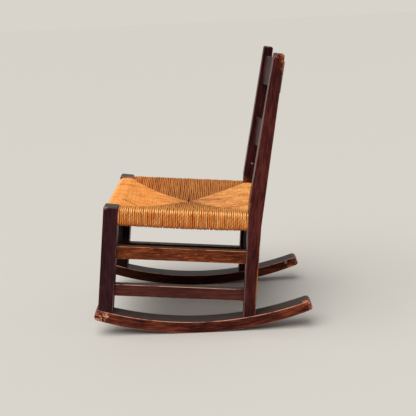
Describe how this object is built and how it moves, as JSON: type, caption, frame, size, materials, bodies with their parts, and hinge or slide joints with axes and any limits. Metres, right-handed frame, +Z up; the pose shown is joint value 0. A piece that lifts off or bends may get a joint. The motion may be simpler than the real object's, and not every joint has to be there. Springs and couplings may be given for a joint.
{
  "type": "rocking chair",
  "caption": "Armless rocking chair: stained oak posts and stretchers on curved runners, bowed back slats and a woven rush seat.",
  "frame": {"origin": "on the floor, midway between the two runners and midway between the front and rear tips of the runners", "axes": "+Z up, -Y the way the sitter faces, +X towards the sitter's left"},
  "size_m": [0.434, 0.6414, 0.7974],
  "materials": {
    "post_oak": "dark red-brown stain over oak, satin, worn lighter along the edges",
    "runner_oak": "dark red-brown stain over oak, satin, worn lighter along the edges",
    "stretcher_oak": "dark red-brown stain over oak, satin, worn lighter along the edges",
    "slat_oak": "dark red-brown stain over oak, satin, worn lighter along the edges",
    "rail_oak": "bare planed oak, hidden by the rush",
    "rush": "golden twisted fibre cord, woven in four panels",
    "stuffing": "packed fibre, hidden between the layers of the rush",
    "dowel_oak": "bare turned oak, hidden in the joints"
  },
  "bodies": {
    "root": {"left_front_post": "post_oak", "right_front_post": "post_oak", "left_rear_post": "post_oak", "right_rear_post": "post_oak", "left_runner": "runner_oak", "right_runner": "runner_oak", "left_upper_stretcher": "stretcher_oak", "right_upper_stretcher": "stretcher_oak", "left_lower_stretcher": "stretcher_oak", "right_lower_stretcher": "stretcher_oak", "front_stretcher": "stretcher_oak", "rear_stretcher": "stretcher_oak", "upper_back_slat": "slat_oak", "lower_back_slat": "slat_oak", "front_seat_rail": "rail_oak", "rear_seat_rail": "rail_oak", "left_seat_rail": "rail_oak", "right_seat_rail": "rail_oak", "front_rush_panel": "rush", "rear_rush_panel": "rush", "left_rush_panel": "rush", "right_rush_panel": "rush", "front_stuffing": "stuffing", "rear_stuffing": "stuffing", "left_stuffing": "stuffing", "right_stuffing": "stuffing", "foot_dowels": "dowel_oak"}
  },
  "joints": []
}
